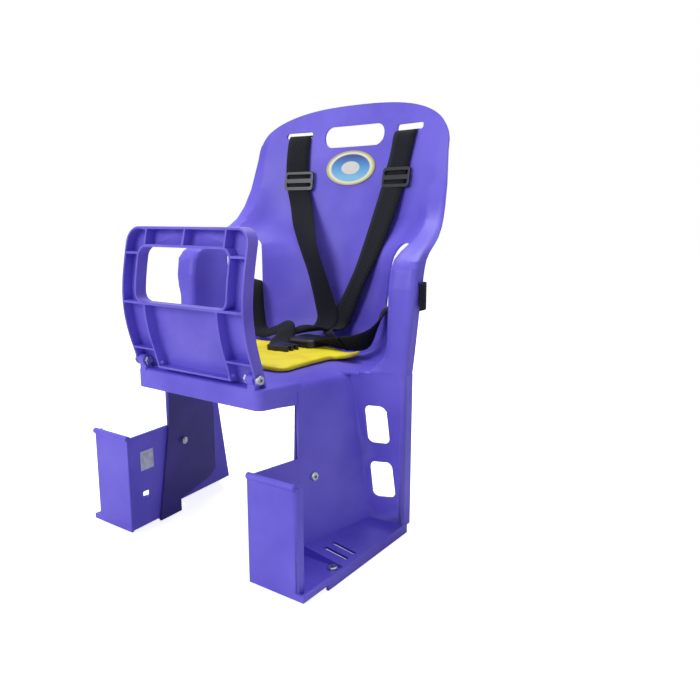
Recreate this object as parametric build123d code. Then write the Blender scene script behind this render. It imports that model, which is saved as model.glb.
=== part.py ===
from build123d import *
import math
import os

# Child seat for a bicycle's rear rack. Millimetres, +Z up, the child faces -Y,
# +X is the child's left. Origin on the ground below the middle of the seat's box.

# Y of the middle of the box in the sizes below; the export moves it to Y = 0
middle_y = 13.95

# Seat shell, a one-piece moulding
total_height = 510.0
wall = 3.0
pan_top = 199.0
pan_half_width = 119.0
back_foot_y = 118.0
back_recline = 0.17
arm_half_width = 151.0
arm_top = 328.0
tub_rise = 34.0
column_front_y = 13.0
column_outer_half_width = 186.0
column_foot_half_width = 155.0
column_return = 17.0
column_slant = 14.0
rim_roll = 8.0
rim_edge_radius = 6.0
crown_half_width = 149.0
crown_power = 2.6
pan_edge_radius = 12.0

# Apron, the ledge under the guard
apron_front_y = -124.0
apron_half_width = 94.0
apron_depth = 22.0
apron_corner_radius = 10.0
apron_top_radius = 3.6

# Legs with their foot boxes
toe_front_y = -144.0
toe_half_width = 94.0
toe_out = 0.1265
toe_panel_outer = 157.0
toe_top = 118.0
leg_front_y = -78.0
leg_slant = 18.0
mould_line = 0.05
heel_inner_y = 29.5
foot_outer_front = column_foot_half_width + 10.0
foot_taper = 0.048
floor_top = 20.0
toe_floor_top = 10.0
toe_floor_back_y = -70.0
skirt_front_y = -103.0
skirt_back_y = 57.0
toe_lip_bottom = 6.0
toe_return = 11.0
toe_edge_radius = 5.0
toe_bead_radius = 3.4
window_width = 25.0
window_height = 45.0
window_radius = 7.0
window_x = 138.0
window_heights = (70.0, 138.0)
foot_slot_length = 10.0
foot_slot_height = 8.0
foot_slot_y = -118.0
foot_slot_z = 44.0
floor_slot_length = 30.0
floor_slot_width = 4.5
floor_slot_ys = (-58.0, -44.0)
floor_slot_x = 138.0
column_hole_diameter = 5.0
column_hole_z = 297.0

# Openings in the back
handle_width = 95.0
handle_height = 27.0
handle_z = 470.0
shoulder_slot_inner = 68.0
shoulder_slot_outer = 109.0
shoulder_slot_height = 8.0
shoulder_slot_z = 475.0
waist_slot_x = 118.8
waist_slot_y = 76.8
waist_slot_width = 46.0
waist_slot_height = 80.0
waist_slot_z = 296.0
waist_slot_radius = 8.0
waist_tooth_reach = 16.0
waist_tooth_height = 13.0

# Front guard
guard_half_width = 92.0
guard_bottom = 203.0
guard_top = 356.0
guard_depth = 14.0
guard_bulge_y = -140.0
guard_bulge_z = 280.0
guard_foot_front_y = -124.5
guard_top_front_y = -127.0
guard_corner_radius = 17.0
guard_wall = 2.6
guard_web = 2.4
guard_window_half_width = 68.0
guard_window_bottom = 277.0
guard_window_top = 335.0
guard_window_radius = 11.0
guard_rib_x = 55.0
guard_top_rib_x = 60.0
guard_side_rib_z = 328.0
guard_low_rib_z = 224.0
guard_rest_gap = 0.3

# Guard hinge
pivot_y = -121.0
pivot_z = 208.5
pivot_diameter = 5.0
pivot_clearance = 0.05
lug_radius = 6.0
lug_width = 10.0
lug_gap = 0.6
pivot_head_gap = 0.3

# Fasteners
bolt_diameter = 5.0
bolt_hole_clearance = 0.25
bolt_head_diameter = 10.0
bolt_head_height = 3.0
nut_across_flats = 8.0
nut_height = 4.0
floor_nut_height = 2.6
bolt_spare = 0.8
leg_bolt_y = -57.0
leg_bolt_z = 94.0
floor_screw_x = 150.0
floor_screw_y = -80.0

# Spoke plates on the wheel side of the legs
plate_thickness = 3.0
plate_top = 176.5
plate_front_y = -77.0
plate_foot_front_y = -100.0
plate_toe_bottom = 4.0
plate_heel_bottom = 20.0
plate_heel_rise = 11.0
plate_step_y = -64.0
plate_back_y = 2.0
plate_tab_side = 8.0

# Rack mounting holes in the pan
rack_hole_diameter = 6.6
rack_hole_spacing_x = 70.0
rack_hole_spacing_y = 100.0
rack_hole_centre_y = 20.0

# Soft goods and trim
strap_width = 36.0
strap_thickness = 1.6
strap_gap = 0.4
pad_half_width = 88.0
pad_front_y = -58.0
pad_thickness = 6.0
pad_front_half_width = 63.0
pad_waist_y = 36.0
pad_corner_radius = 16.0
pad_shoulder_radius = 12.0
badge_half_width = 39.0
badge_half_height = 22.0
badge_thickness = 1.2
badge_z = total_height - 81.0
sticker_length = 20.0
sticker_height = 23.0
sticker_thickness = 0.4
sticker_y = -115.0
sticker_z = 86.0
slider_width = 44.0
slider_height = 25.0
slider_thickness = 3.4
slider_z = 413.0
buckle_width = 42.0
buckle_length = 40.0
buckle_thickness = 12.0
plug_length = 34.0
plug_thickness = 8.0
socket_x = 4.0
socket_y = 62.0
plug_x = -8.0
plug_y = 20.0
near_lap = ((72.0, 28.0), (52.0, 34.0), (44.0, 52.0))
far_lap = ((72.0, 27.0), (52.0, 21.0), (34.0, 20.0))

floor_bottom = floor_top - wall
toe_floor_bottom = toe_floor_top - wall
pan_bottom = pan_top - wall
pad_top = pan_top + strap_gap + pad_thickness
wing_z = arm_top + 60.0
hip_z = arm_top + 87.0
crown_z = total_height - 67.0
column_z = arm_top - 32.0
tub_z = pan_top + tub_rise
pan_spread = arm_half_width - pan_half_width


# Wheel-side face of the leg walls, which run outward towards the back
def side_x(y):
    return toe_half_width + toe_out * (y - toe_front_y)


# Outer face of the foot box rim
def foot_x(y):
    return foot_outer_front - foot_taper * (y - toe_front_y)


# Inner face of the back on the centre line
def back_y(z):
    return back_foot_y + back_recline * (z - pan_top)


# Outer edge of leg and column, which lean outward to the arm
def column_edge_x(z):
    share = (z - floor_top) / (column_z - floor_top)
    return column_foot_half_width + share * (column_outer_half_width - column_foot_half_width)


def mirrored(piece):
    return mirror(piece, about=Plane.YZ)


# Side-view outline carried across X
def side_prism(points, low, high):
    with BuildSketch(Plane.YZ.offset(low)) as sketch:
        with BuildLine():
            Polyline(*points, close=True)
        make_face()
    return extrude(sketch.sketch, high - low)


# Plan outline carried up Z
def plan_prism(points, low, high):
    with BuildSketch(Plane.XY.offset(low)) as sketch:
        with BuildLine():
            Polyline(*points, close=True)
        make_face()
    return extrude(sketch.sketch, high - low)


# Front-view sketch carried along Y
def front_prism(sketch, low, high):
    return Pos(0, high, 0) * extrude(Plane.XZ * sketch, high - low)


# Value at height z on a smooth curve through (height, value) stations
def smooth(z, stations):
    if z <= stations[0][0]:
        return stations[0][1]
    if z >= stations[-1][0]:
        return stations[-1][1]
    slopes = [(b[1] - a[1]) / (b[0] - a[0]) for a, b in zip(stations, stations[1:])]
    index = next(i for i in range(len(slopes)) if z <= stations[i + 1][0])
    low, high = stations[index], stations[index + 1]
    here = slopes[index]
    before = slopes[max(index - 1, 0)]
    after = slopes[min(index + 1, len(slopes) - 1)]
    start = 2 * before * here / (before + here) if before * here > 0 else 0.0
    end = 2 * after * here / (after + here) if after * here > 0 else 0.0
    step = high[0] - low[0]
    t = (z - low[0]) / step
    value = low[1] * (1 + 2 * t) * (1 - t) ** 2 + high[1] * t * t * (3 - 2 * t)
    return value + start * step * t * (1 - t) ** 2 + end * step * t * t * (t - 1)


# Rim of the shell by height: its front, its outer edge, where the bucket's side ends
# and the headings of side and return
rim_front = (
    (pan_top, column_front_y - 4.0),
    (column_z, column_front_y),
    (arm_top - 13, column_front_y + 5),
    (arm_top, column_front_y + 21),
    (arm_top + 15, column_front_y + 59),
    (arm_top + 33, column_front_y + 90),
    (wing_z, column_front_y + 110),
    (hip_z, column_front_y + 121),
    (crown_z, column_front_y + 128),
    (total_height + 56, column_front_y + 160),
)
rim_outer = (
    (arm_top - 13, column_outer_half_width),
    (arm_top, column_outer_half_width - 4),
    (arm_top + 15, column_outer_half_width - 14),
    (arm_top + 33, crown_half_width + 14),
    (wing_z, crown_half_width + 8.5),
    (hip_z, crown_half_width + 4),
    (crown_z, crown_half_width),
)
bucket_side = (
    (tub_z, arm_half_width),
    (arm_top, arm_half_width),
    (arm_top + 15, arm_half_width - 3),
    (arm_top + 33, arm_half_width - 9),
    (wing_z, arm_half_width - 14),
    (hip_z, arm_half_width - 14),
    (total_height + 56, arm_half_width - 12),
)
side_heading = (
    (arm_top - 13, -90.0),
    (arm_top, -80.0),
    (arm_top + 15, -62.0),
    (arm_top + 33, -45.0),
    (wing_z, -30.0),
    (hip_z, -21.0),
    (crown_z, -14.0),
    (total_height + 56, -12.0),
)
return_heading = (
    (arm_top - 13, 90.0),
    (arm_top, 82.0),
    (arm_top + 15, 64.0),
    (arm_top + 33, 48.0),
    (wing_z, 32.0),
    (hip_z, 14.0),
    (crown_z, 4.0),
)
return_length = ((arm_top - 13, column_return - rim_edge_radius), (arm_top + 33, 4.0), (wing_z, 2.0))
facet_heading = ((pan_top, column_slant), (column_z, 0.0))
rim_shares = (0.09, 0.20, 0.42, 0.64, 0.73, 0.82, 1.0)


# Points on an arc that starts at one heading and turns left to another
def arc_points(start, radius, first, last, count):
    begin = math.radians(first)
    points = []
    for step in range(1, count + 1):
        heading = math.radians(first + (last - first) * step / count)
        x = start[0] + radius * (math.sin(heading) - math.sin(begin))
        y = start[1] - radius * (math.cos(heading) - math.cos(begin))
        points.append((x, y))
    return points


def line_points(start, heading, length, count):
    run = (length * math.cos(heading) / count, length * math.sin(heading) / count)
    return [(start[0] + run[0] * s, start[1] + run[1] * s) for s in range(1, count + 1)]


# Front face of the rim's facet
def facet_y(x, z):
    return smooth(z, rim_front) + math.tan(math.radians(smooth(z, facet_heading))) * (x - arm_half_width)


# Points at shares of the length of a line of points
def spread(points, shares):
    lengths = [0.0]
    for low, high in zip(points, points[1:]):
        lengths.append(lengths[-1] + math.dist(low, high))
    placed = []
    for share in shares:
        target = share * lengths[-1]
        index = next((k for k in range(1, len(points)) if lengths[k] >= target), len(points) - 1)
        part = (target - lengths[index - 1]) / (lengths[index] - lengths[index - 1])
        low, high = points[index - 1], points[index]
        placed.append(tuple(a + part * (b - a) for a, b in zip(low, high)))
    return placed


# Plan of the bucket's curved wall at a height, from the back's middle to the side
def wall_row(z, inset, count=6):
    slope = math.radians(smooth(z, side_heading))
    tip = math.radians(smooth(z, facet_heading))
    side_edge = smooth(z, bucket_side) - inset
    facet_start = side_edge + rim_roll * (math.sin(tip) - math.sin(slope))
    side = (side_edge, facet_y(facet_start, z) + rim_roll * (math.cos(tip) - math.cos(slope)))
    back = (0.0, back_y(z) - inset)
    reach = 0.30 * ((back[1] - side[1]) * math.sin(-slope) + side[0] * math.cos(slope))
    pull = (side[0] - reach * math.cos(slope), side[1] - reach * math.sin(slope))
    corners = (back, (0.5 * side[0], back[1]), pull, side)
    points = []
    for step in range(count + 1):
        t = step / count
        weights = ((1 - t) ** 3, 3 * t * (1 - t) ** 2, 3 * t * t * (1 - t), t ** 3)
        points.append(tuple(sum(w * c[i] for w, c in zip(weights, corners)) for i in (0, 1)))
    return points


# The rolled rim from the wall's side on: roll, front facet, edge and return
def rim_line(z, start):
    facet = smooth(z, facet_heading)
    last = smooth(z, return_heading)
    line = [start] + arc_points(start, rim_roll, smooth(z, side_heading), facet, 12)
    outer = column_edge_x(z) if z < column_z else smooth(z, rim_outer)
    tip = math.radians(facet)
    out = math.radians(last)
    run = (outer - line[-1][0] - rim_edge_radius * (math.sin(out) - math.sin(tip))) / math.cos(tip)
    line += line_points(line[-1], tip, run, 4)
    line += arc_points(line[-1], rim_edge_radius, facet, last, 12)
    return line + line_points(line[-1], out, smooth(z, return_length), 2)


# Wall and rim of one half at a height, as the points that the rows share
def rim_row(z, inset):
    points = wall_row(z, inset)
    return points + spread(rim_line(z, points[-1]), rim_shares)


# Grid of points moved along the surface's own normals, away from the child
def offset_grid(grid, distance):
    moved = []
    for r, row in enumerate(grid):
        line = []
        for c, point in enumerate(row):
            up = Vector(*grid[min(r + 1, len(grid) - 1)][c]) - Vector(*grid[max(r - 1, 0)][c])
            along = Vector(*row[min(c + 1, len(row) - 1)]) - Vector(*row[max(c - 1, 0)])
            place = Vector(*point) + up.cross(along).normalized() * distance
            line.append((place.X, place.Y, place.Z))
        moved.append(line)
    return moved


# Strips ruled from row to row, each row a spline through its points
def sheet(grid):
    rows = [Wire([Edge.make_spline([Vector(*point) for point in row])]) for row in grid]
    return Shell.make_loft(rows, ruled=True)


# Edges of a sheet's outline: its first and last row, then the strips' ends, right and left
def outline_edges(strips):
    edges = strips.edges().sort_by(lambda edge: edge.center().Z)
    rows = edges.filter_by(lambda edge: abs(edge.center().X) < 1)
    right = edges.filter_by(lambda edge: edge.center().X <= -1)
    left = edges.filter_by(lambda edge: edge.center().X >= 1)
    return [rows[0], rows[-1]] + list(right) + list(left)


# Row at a share of the way from the straight sides up to the crown's rounded edge
def crown_row(share):
    base = rim_row(crown_z, 0.0)
    power = crown_power / 2
    points = []
    for x, y in base:
        turn = 0.9925 * (x / base[-1][0]) ** power
        top_x = base[-1][0] * turn ** (1 / power)
        top_z = crown_z + (total_height - crown_z) * (1 - turn * turn) ** (1 / crown_power)
        here_x = x + share * (top_x - x)
        here_z = crown_z + share * (top_z - crown_z)
        row = wall_row(here_z, 0.0, 48)
        row += rim_line(here_z, row[-1])[1:]
        low, high = next(((a, b) for a, b in zip(row, row[1:]) if b[0] >= here_x), row[-2:])
        part = (here_x - low[0]) / (high[0] - low[0])
        points.append((here_x, low[1] + part * (high[1] - low[1]), here_z))
    return points


# Bucket, arms, wings and rolled rim as one sheet, thickened away from the child
def make_bucket():
    rows = []
    for degrees in (0, 22.5, 45, 67.5):
        angle = math.radians(degrees)
        rows.append((pan_top + tub_rise * (1 - math.cos(angle)), pan_spread * (1 - math.sin(angle))))
    heights = [tub_z, column_z - 42, column_z - 22, column_z - 6]
    heights += [arm_top + rise for rise in (-16, -7, 1, 9, 17, 26, 36, 52)]
    heights += [hip_z - 10, crown_z]
    rows += [(z, 0.0) for z in heights]
    halves = [[(x, y, z) for x, y in rim_row(z, inset)] for z, inset in rows]
    halves += [crown_row(share) for share in (0.5, 1.0)]
    grid = [[(-x, y, z) for x, y, z in reversed(half[1:])] + half for half in halves]
    inner = sheet(grid)
    outer = sheet(offset_grid(grid, wall))
    sides = []
    for edge, twin in zip(outline_edges(inner), outline_edges(outer)):
        sides.append(Face.make_surface_from_curves(edge, twin))
    return Solid(Shell(inner.faces() + outer.faces() + sides))


# Front face of the leg's rear wall at its inner and outer ends
def leg_line(z):
    top = (facet_y(side_x(0.0), pan_top), facet_y(column_edge_x(pan_top), pan_top))
    if z >= pan_top:
        return facet_y(side_x(0.0), z), facet_y(column_edge_x(z), z)
    share = (z - floor_bottom) / (pan_top - floor_bottom)
    foot = (heel_inner_y, heel_inner_y + leg_slant)
    return foot[0] + share * (top[0] - foot[0]), foot[1] + share * (top[1] - foot[1])


def leg_corner_y(z):
    return leg_line(z)[0]


# Rear wall of one leg with its outer return at a height
def leg_section(z):
    inner_y, outer_y = leg_line(z)
    outer = column_edge_x(z)
    start = side_x(inner_y) + wall / 2
    slope = (outer_y - inner_y) / (outer - start)
    back = wall * math.hypot(1, slope)
    end = outer_y + column_return
    with BuildSketch(Plane.XY.offset(z)) as sketch:
        with BuildLine():
            Polyline(
                (start, inner_y), (outer, outer_y), (outer, end), (outer - wall, end),
                (outer - wall, outer_y - slope * wall + back), (start, inner_y + back), close=True,
            )
        make_face()
        corners = sketch.vertices().sort_by(Axis.X)
        front = min(corners[-2:], key=lambda v: v.Y)
        rear = min(corners[2:4], key=lambda v: v.Y)
        fillet(front, rim_edge_radius)
        rear = min(sketch.vertices(), key=lambda v: (Vector(v.X, v.Y) - Vector(rear.X, rear.Y)).length)
        fillet(rear, rim_edge_radius - wall)
    return sketch.sketch


def make_leg():
    return loft([leg_section(z) for z in (floor_bottom, pan_top - mould_line)], ruled=True)


# Pan and the two inner leg walls, one folded sheet
def make_saddle():
    back = leg_corner_y(floor_bottom) + wall
    half = {}
    for y in (leg_front_y, back):
        half[y] = side_x(y) + wall
    outer = plan_prism(
        [
            (-half[leg_front_y], leg_front_y),
            (half[leg_front_y], leg_front_y),
            (half[back], back),
            (-half[back], back),
        ],
        floor_bottom, pan_top,
    )
    outer_top = outer.edges().group_by(Axis.Z)[-1]
    outer = fillet(outer_top.filter_by(lambda e: abs(e.center().X) > 50), pan_edge_radius)
    front = leg_front_y - 10
    rear = back + 10
    inner = plan_prism(
        [(-side_x(front), front), (side_x(front), front), (side_x(rear), rear), (-side_x(rear), rear)],
        floor_bottom - 10, pan_bottom,
    )
    inner = fillet(
        inner.edges().group_by(Axis.Z)[-1].filter_by(lambda e: abs(e.center().X) > 50), pan_edge_radius - wall
    )
    rear_edge = [(leg_corner_y(z) + wall, z) for z in (floor_bottom, pan_top)]
    outline = [(leg_front_y, floor_bottom)] + rear_edge + [(leg_front_y, pan_top)]
    return (outer - inner) & side_prism(outline, -200, 200)


# Pan behind the legs, up to the rounded foot of the back
def make_pan():
    rear = wall_row(pan_top, pan_spread - 3)
    corner = leg_corner_y(pan_top)
    with BuildSketch(Plane.XY.offset(pan_bottom + 0.2)) as sketch:
        with BuildLine():
            Spline([(-x, y) for x, y in reversed(rear[1:])] + rear)
            edge_x = side_x(corner) + wall - 0.5
            side = [(rear[-1][0] + 3, corner + 1), (edge_x, corner - 2), (60, corner - 30)]
            Polyline(rear[-1], *side, *[(-x, y) for x, y in reversed(side)], (-rear[-1][0], rear[-1][1]))
        make_face()
    return extrude(sketch.sketch, wall - 0.4)


def make_apron():
    rear = leg_front_y + 6
    wide = side_x(rear) + wall - 0.6
    blocks = []
    for inset in (0.0, wall):
        block = plan_prism(
            [
                (-apron_half_width + inset, apron_front_y + inset),
                (apron_half_width - inset, apron_front_y + inset),
                (wide - inset, rear + 3 * inset),
                (-wide + inset, rear + 3 * inset),
            ],
            pan_top - apron_depth - 5 * inset, pan_top - inset,
        )
        block = fillet(block.edges().filter_by(Axis.Z).sort_by(Axis.Y)[:2], apron_corner_radius - inset)
        if not inset:
            top = block.edges().group_by(Axis.Z)[-1].filter_by(lambda e: e.center().Y < rear - 1)
            block = fillet(top, apron_top_radius)
        blocks.append(block)
    return blocks[0] - blocks[1]


# Wall along the wheel side between two side-view limits
def side_wall(outline, thickness, away):
    low, high = min(y for y, z in outline), max(y for y, z in outline)
    near, far = (0.0, thickness) if away else (-thickness, 0.0)
    slab = plan_prism(
        [
            (side_x(low) + near, low),
            (side_x(low) + far, low),
            (side_x(high) + far, high),
            (side_x(high) + near, high),
        ],
        -10, 300,
    )
    return slab & side_prism(outline, 0, 200)


# Foot box of the left leg: side wall, toe panel, stepped floor and outer rim
def make_foot():
    low = toe_floor_bottom
    front, step = toe_front_y, toe_floor_back_y
    foot = side_wall([(front, low), (step, low), (step, toe_top), (front, toe_top)], wall, True)
    panel = plan_prism(
        [
            (toe_half_width, front),
            (toe_panel_outer, front),
            (toe_panel_outer, front + toe_return),
            (toe_panel_outer - wall, front + toe_return),
            (toe_panel_outer - wall, front + wall),
            (toe_half_width, front + wall),
        ],
        low, toe_top,
    )
    uprights = panel.edges().filter_by(Axis.Z)
    outside = uprights.sort_by(lambda e: e.center().X - e.center().Y)[-1]
    panel = fillet(outside, toe_edge_radius)
    bead = Pos((toe_half_width + toe_panel_outer) / 2 - 1, front + wall / 2, toe_top) * (
        Rot(0, 90, 0) * Cylinder(toe_bead_radius, toe_panel_outer - toe_half_width - 2)
    )
    toe_floor = plan_prism(
        [(side_x(front), front), (foot_x(front), front), (foot_x(step), step), (side_x(step), step)],
        low, toe_floor_top,
    )
    riser = plan_prism(
        [
            (side_x(step) + 1, step - wall),
            (foot_x(step) - 1, step - wall),
            (foot_x(step) - 1, step),
            (side_x(step) + 1, step),
        ],
        low, floor_top,
    )
    heel = leg_corner_y(floor_bottom) + wall
    rear_floor = plan_prism(
        [
            (side_x(step) + 1, step - 1),
            (foot_x(step) - 1, step - 1),
            (foot_x(skirt_back_y) - 1, skirt_back_y - 1),
            (column_foot_half_width - 1, heel + leg_slant),
            (side_x(heel) + 1, heel - 1),
        ],
        floor_bottom, floor_top,
    )
    skirts = []
    runs = ((front, skirt_front_y + 1, toe_lip_bottom), (skirt_front_y, skirt_back_y, 0.0))
    for start, end, bottom in runs:
        skirts.append(plan_prism(
            [
                (foot_x(start) - wall, start),
                (foot_x(start), start),
                (foot_x(end), end),
                (foot_x(end) - wall, end),
            ],
            bottom, floor_top,
        ))
    lip = plan_prism(
        [
            (toe_half_width, front),
            (foot_x(front), front),
            (foot_x(front), front + wall),
            (toe_half_width, front + wall),
        ],
        toe_lip_bottom, floor_top,
    )
    for piece in [panel, bead, toe_floor, riser, rear_floor, lip] + skirts:
        foot += piece
    return foot


# Hinge lug that stands on the apron inside the guard's corner
def make_lug():
    outer = guard_half_width - guard_wall - lug_gap
    with BuildSketch(Plane.YZ.offset(outer - lug_width)) as sketch:
        with Locations((pivot_y, pivot_z)):
            Circle(lug_radius)
        with Locations((pivot_y + 1.0, (pivot_z + pan_top - 2) / 2)):
            Rectangle(2 * lug_radius - 4, pivot_z - pan_top + 2)
        with Locations((pivot_y, pivot_z)):
            Circle(pivot_diameter / 2 + pivot_clearance, mode=Mode.SUBTRACT)
    return extrude(sketch.sketch, lug_width)


# Slot plane for the waist webbing, in the curve between side and back
def waist_plane(distance):
    lean = math.sqrt(0.5)
    place = (waist_slot_x + lean * distance, waist_slot_y + lean * distance, waist_slot_z)
    return Plane(origin=place, x_dir=(lean, -lean, 0), z_dir=(lean, lean, 0))


def waist_cutter():
    hole = RectangleRounded(waist_slot_width, waist_slot_height, waist_slot_radius)
    tooth = Pos(waist_slot_width / 2 - waist_tooth_reach / 2 + 3, 8) * RectangleRounded(
        waist_tooth_reach + 6, waist_tooth_height, 4
    )
    return extrude(waist_plane(-26) * (hole - tooth), 60)


# Place on the wheel side of the left leg wall, local +Z pointing outward
def leg_bolt_plane(distance):
    length = math.hypot(1, toe_out)
    normal = Vector(1, -toe_out, 0) / length
    place = Vector(side_x(leg_bolt_y), leg_bolt_y, leg_bolt_z) + normal * distance
    return Plane(origin=place, x_dir=(0, 0, 1), z_dir=normal)


def rounded_slot(width, height, radius, x, z):
    return Pos(x, z) * RectangleRounded(width, height, radius)


def shell_cutters():
    hole = bolt_diameter / 2 + bolt_hole_clearance
    shoulder_width = shoulder_slot_outer - shoulder_slot_inner
    shoulder_x = (shoulder_slot_outer + shoulder_slot_inner) / 2
    shoulder_slot = rounded_slot(shoulder_width, shoulder_slot_height, 3, shoulder_x, shoulder_slot_z)
    foot_slot_x = side_x(foot_slot_y) + wall / 2
    cutters = [front_prism(rounded_slot(handle_width, handle_height, 12.5, 0, handle_z), 130, 210)]
    one_side = [
        front_prism(shoulder_slot, 120, 210),
        waist_cutter(),
        extrude(leg_bolt_plane(-10) * Circle(hole), 24),
        Pos(floor_screw_x, floor_screw_y, toe_floor_top) * Cylinder(hole, 30),
        Pos(column_outer_half_width, column_front_y + 11, column_hole_z)
        * (Rot(0, 90, 0) * Cylinder(column_hole_diameter / 2, 20)),
        Pos(foot_slot_x, foot_slot_y, foot_slot_z) * Box(20, foot_slot_length, foot_slot_height),
    ]
    for z in window_heights:
        window = rounded_slot(window_width, window_height, window_radius, window_x, z)
        one_side.append(front_prism(window, -4, 60))
    for y in floor_slot_ys:
        one_side.append(Pos(floor_slot_x, y, floor_top) * Box(floor_slot_length, floor_slot_width, 20))
    cutters += one_side + [mirrored(piece) for piece in one_side]
    for x in (-rack_hole_spacing_x / 2, rack_hole_spacing_x / 2):
        for y in (-rack_hole_spacing_y / 2, rack_hole_spacing_y / 2):
            cutters.append(Pos(x, rack_hole_centre_y + y, pan_top) * Cylinder(rack_hole_diameter / 2, 20))
    return cutters


def make_shell(bucket):
    one_side = [make_foot(), make_leg(), make_lug()]
    plates = make_saddle() + make_pan() + make_apron()
    for piece in one_side:
        plates += piece
        plates += mirrored(piece)
    return (bucket + plates) - shell_cutters()


# Region between the guard's front curve and the same curve moved back
def guard_slab(start, end, bottom):
    foot, crown, bulge = guard_foot_front_y, guard_top_front_y, guard_bulge_y
    lower_z = guard_low_rib_z + 8
    curve = [
        (foot + 1.2, bottom),
        (foot - 0.6, guard_bottom + 4),
        (foot + (bulge - foot) * 0.52, lower_z),
        (bulge, guard_bulge_z),
        (bulge + 3, guard_side_rib_z - 18),
        (crown, guard_top + 2),
    ]
    front = [(y + start, z) for y, z in curve]
    rear = [(y + end, z) for y, z in reversed(curve)]
    with BuildSketch(Plane.YZ.offset(-guard_half_width - 5)) as sketch:
        with BuildLine():
            Spline(*front)
            Line(front[-1], rear[0])
            Spline(*rear)
            Line(rear[-1], front[0])
        make_face()
    return extrude(sketch.sketch, 2 * guard_half_width + 10)


# Front guard: a skin at the back with walls and ribs that stand forward from it
def make_guard():
    def outline(inset, bottom):
        corner = guard_corner_radius - inset
        width = 2 * (guard_half_width - inset)
        top = guard_top - inset
        plate = Pos(0, (top + bottom) / 2) * Rectangle(width, top - bottom)
        return fillet(plate.vertices().sort_by(Axis.Y)[-2:], corner)

    def window(grow):
        high = guard_window_top - guard_window_bottom + 2 * grow
        return Pos(0, (guard_window_top + guard_window_bottom) / 2) * RectangleRounded(
            2 * (guard_window_half_width + grow), high, guard_window_radius + grow
        )

    def bar(x, z, width, tall):
        return Pos(x, z) * Rectangle(width, tall)

    body = outline(0, guard_bottom)
    ribs = body - outline(guard_wall, guard_bottom - 10)
    ribs += bar(0, guard_window_bottom - guard_wall / 2, 2 * guard_half_width, guard_wall)
    ribs += bar(0, guard_bottom + guard_wall / 2, 2 * guard_rib_x, guard_wall)
    top_middle = (guard_top + guard_window_top) / 2
    top_band = guard_top - guard_window_top
    ribs += bar(0, top_middle, guard_wall, top_band)
    for side in (-1, 1):
        between = (guard_half_width + guard_window_half_width) / 2
        wide = guard_half_width - guard_window_half_width
        ribs += bar(side * between, guard_side_rib_z, wide, guard_wall)
        ribs += bar(side * guard_top_rib_x, top_middle, guard_wall, top_band)
        tall = guard_window_bottom - guard_bottom
        ribs += bar(side * guard_rib_x, guard_bottom + tall / 2, guard_wall, tall)
        low = (guard_half_width + guard_rib_x) / 2
        ribs += bar(side * low, guard_low_rib_z, guard_half_width - guard_rib_x, guard_wall)
    ribs += window(guard_wall)
    ribs = (ribs & body) - window(0)
    skin = outline(0, pan_top + guard_rest_gap) - window(0)
    guard = front_prism(ribs, -200, -60) & guard_slab(0, guard_depth, pan_top - 5)
    guard += front_prism(skin, -200, -60) & guard_slab(guard_depth - guard_web, guard_depth, pan_top - 5)
    bore = Pos(0, pivot_y, pivot_z) * (
        Rot(0, 90, 0) * Cylinder(pivot_diameter / 2 + pivot_clearance, 2 * guard_half_width + 10)
    )
    return guard - bore


# Spoke plate of the left leg with the tab that turns out under the toe floor
def make_plate():
    rise = plate_heel_bottom + plate_heel_rise
    outline = [
        (plate_front_y, plate_top),
        (plate_front_y - 2, toe_top),
        (plate_foot_front_y, plate_toe_bottom),
        (plate_step_y, plate_toe_bottom),
        (plate_step_y, plate_heel_bottom),
        (plate_back_y - 10, rise),
        (plate_back_y, rise + 8),
        (plate_back_y, toe_top),
        (plate_back_y - 6, plate_top),
    ]
    plate = side_wall(outline, plate_thickness, False)
    front = plate_foot_front_y + 2
    tab = plan_prism(
        [
            (side_x(front) - plate_thickness, front),
            (floor_screw_x + plate_tab_side, front),
            (floor_screw_x + plate_tab_side, plate_step_y),
            (side_x(plate_step_y) - plate_thickness, plate_step_y),
        ],
        plate_toe_bottom, toe_floor_bottom,
    )
    hole = bolt_diameter / 2 + bolt_hole_clearance
    plate = plate + tab
    plate -= extrude(leg_bolt_plane(-10) * Circle(hole), 24)
    return plate - Pos(floor_screw_x, floor_screw_y, toe_floor_top) * Cylinder(hole, 30)


# Bolt with its head above the local origin and its shank below
def make_bolt(diameter, length):
    head = Pos(0, 0, bolt_head_height / 2) * Cylinder(bolt_head_diameter / 2, bolt_head_height)
    head = chamfer(head.edges().group_by(Axis.Z)[-1], 1.0)
    socket = Pos(0, 0, bolt_head_height) * extrude(RegularPolygon(2.0, 6), 3.2, both=True)
    return head + Pos(0, 0, -length / 2) * Cylinder(diameter / 2, length) - socket


# Nut that lies below the local origin
def make_nut(height, diameter):
    nut = extrude(RegularPolygon(nut_across_flats / math.sqrt(3), 6), -height)
    return nut - Pos(0, 0, -height / 2) * Cylinder(diameter / 2 + 0.1, height + 2)


# Part of a layer that follows the bucket's inner face inside a front-view outline
def back_layer(bucket, sketch, low, high, gap, thickness):
    prism = front_prism(sketch, low, high)
    return (Pos(0, -gap - thickness, 0) * bucket & prism) - Pos(0, -gap, 0) * bucket


# Strip of webbing along a spline through points, cut from short straight runs
def strip(points, width, count=10):
    path = Edge.make_spline([Vector(x, y) for x, y in points])
    sides = ([], [])
    for step in range(count + 1):
        place = path.position_at(step / count)
        along = path.tangent_at(step / count)
        for side, sign in zip(sides, (1, -1)):
            side.append((place.X - sign * along.Y * width / 2, place.Y + sign * along.X * width / 2))
    with BuildSketch() as sketch:
        with BuildLine():
            Polyline(*sides[0], *reversed(sides[1]), close=True)
        make_face()
    return sketch.sketch


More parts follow.
